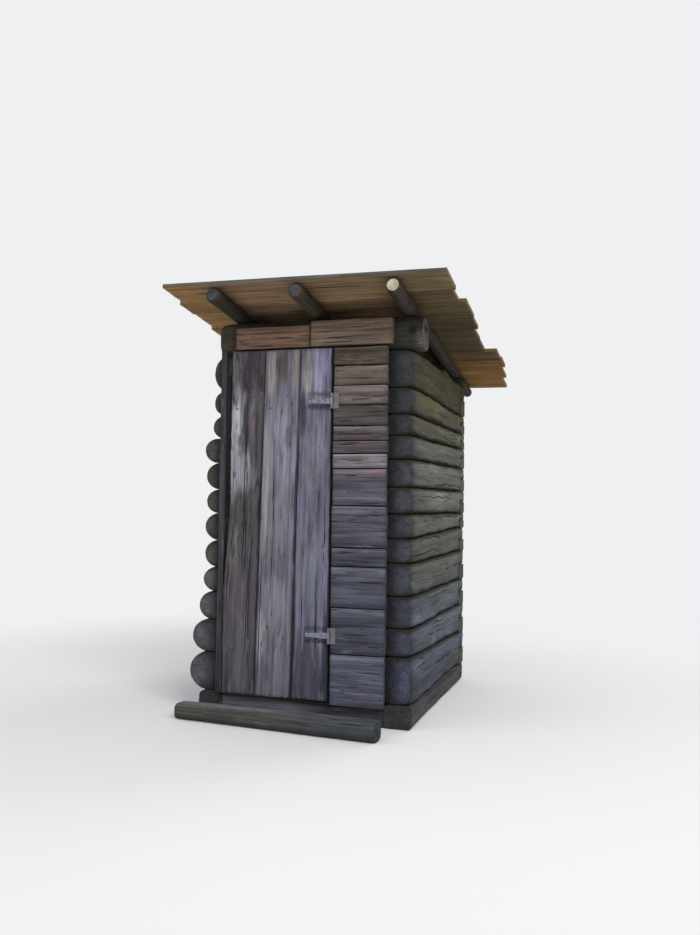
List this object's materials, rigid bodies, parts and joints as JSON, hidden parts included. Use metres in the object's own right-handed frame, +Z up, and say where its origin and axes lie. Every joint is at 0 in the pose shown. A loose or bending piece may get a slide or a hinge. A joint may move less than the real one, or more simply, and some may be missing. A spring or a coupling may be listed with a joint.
{
  "type": "log outhouse",
  "caption": "Small log outhouse: stacked log walls with lapped rear corners, plank door on strap hinges, board infill and a low mono-pitch board roof on pole rafters.",
  "frame": {"origin": "on the ground, under the middle of the roof", "axes": "+X to the right seen from the front, +Y from the door to the back wall, +Z up"},
  "size_m": [1.6596, 2.2041, 2.3269],
  "materials": {
    "round_log": "weathered grey round logs, rough, with checked ends",
    "hewn_log": "hewn logs weathered grey, greenish near the top",
    "board": "rough-sawn boards weathered grey",
    "lintel_board": "rough boards, brown where the roof shelters them",
    "door_plank": "wide planks weathered silver grey with dark cracks",
    "roof_board": "sheltered boards, warm brown underneath, grey at the edge",
    "rafter_pole": "peeled poles, brown, pale at the sawn ends",
    "roof_felt": "dark bitumen felt, matt",
    "hinge_iron": "worn grey iron with rust",
    "floor_wood": "sheltered rough boards",
    "step_wood": "weathered grey log, mossy at the front"
  },
  "bodies": {
    "root": {"back_logs_even": "hewn_log", "back_logs_odd": "hewn_log", "floor_boards": "floor_wood", "floor_sleepers": "floor_wood", "front_plate_log": "hewn_log", "front_posts": "board", "hinge_leaves": "hinge_iron", "infill_boards": "board", "jamb_board": "board", "left_log_01": "round_log", "left_log_02": "round_log", "left_log_03": "round_log", "left_log_04": "round_log", "left_log_05": "round_log", "left_log_06": "round_log", "left_log_07": "round_log", "left_log_08": "round_log", "left_log_09": "round_log", "left_log_10": "round_log", "left_log_11": "round_log", "left_log_12": "round_log", "lintel_boards": "lintel_board", "rafters": "rafter_pole", "rear_plate_log": "hewn_log", "right_log_01": "hewn_log", "right_log_02": "hewn_log", "right_log_03": "hewn_log", "right_log_04": "hewn_log", "right_log_05": "hewn_log", "right_log_06": "hewn_log", "right_log_07": "hewn_log", "right_log_08": "hewn_log", "right_log_09": "hewn_log", "right_log_10": "hewn_log", "right_log_11": "hewn_log", "right_log_12": "hewn_log", "roof_boards": "roof_board", "roof_felt": "roof_felt", "sill_logs": "round_log", "step_log": "step_wood", "threshold_log": "hewn_log"},
    "door": {"door_planks": "door_plank", "door_ledges": "door_plank", "hinge_straps": "hinge_iron"}
  },
  "joints": [
    {"name": "door_hinge", "type": "hinge", "parent": "root", "child": "door", "pos_m": [0.0905, -0.8145, 0], "axis": [0, 0, 1], "range_deg": [0, 120]}
  ]
}
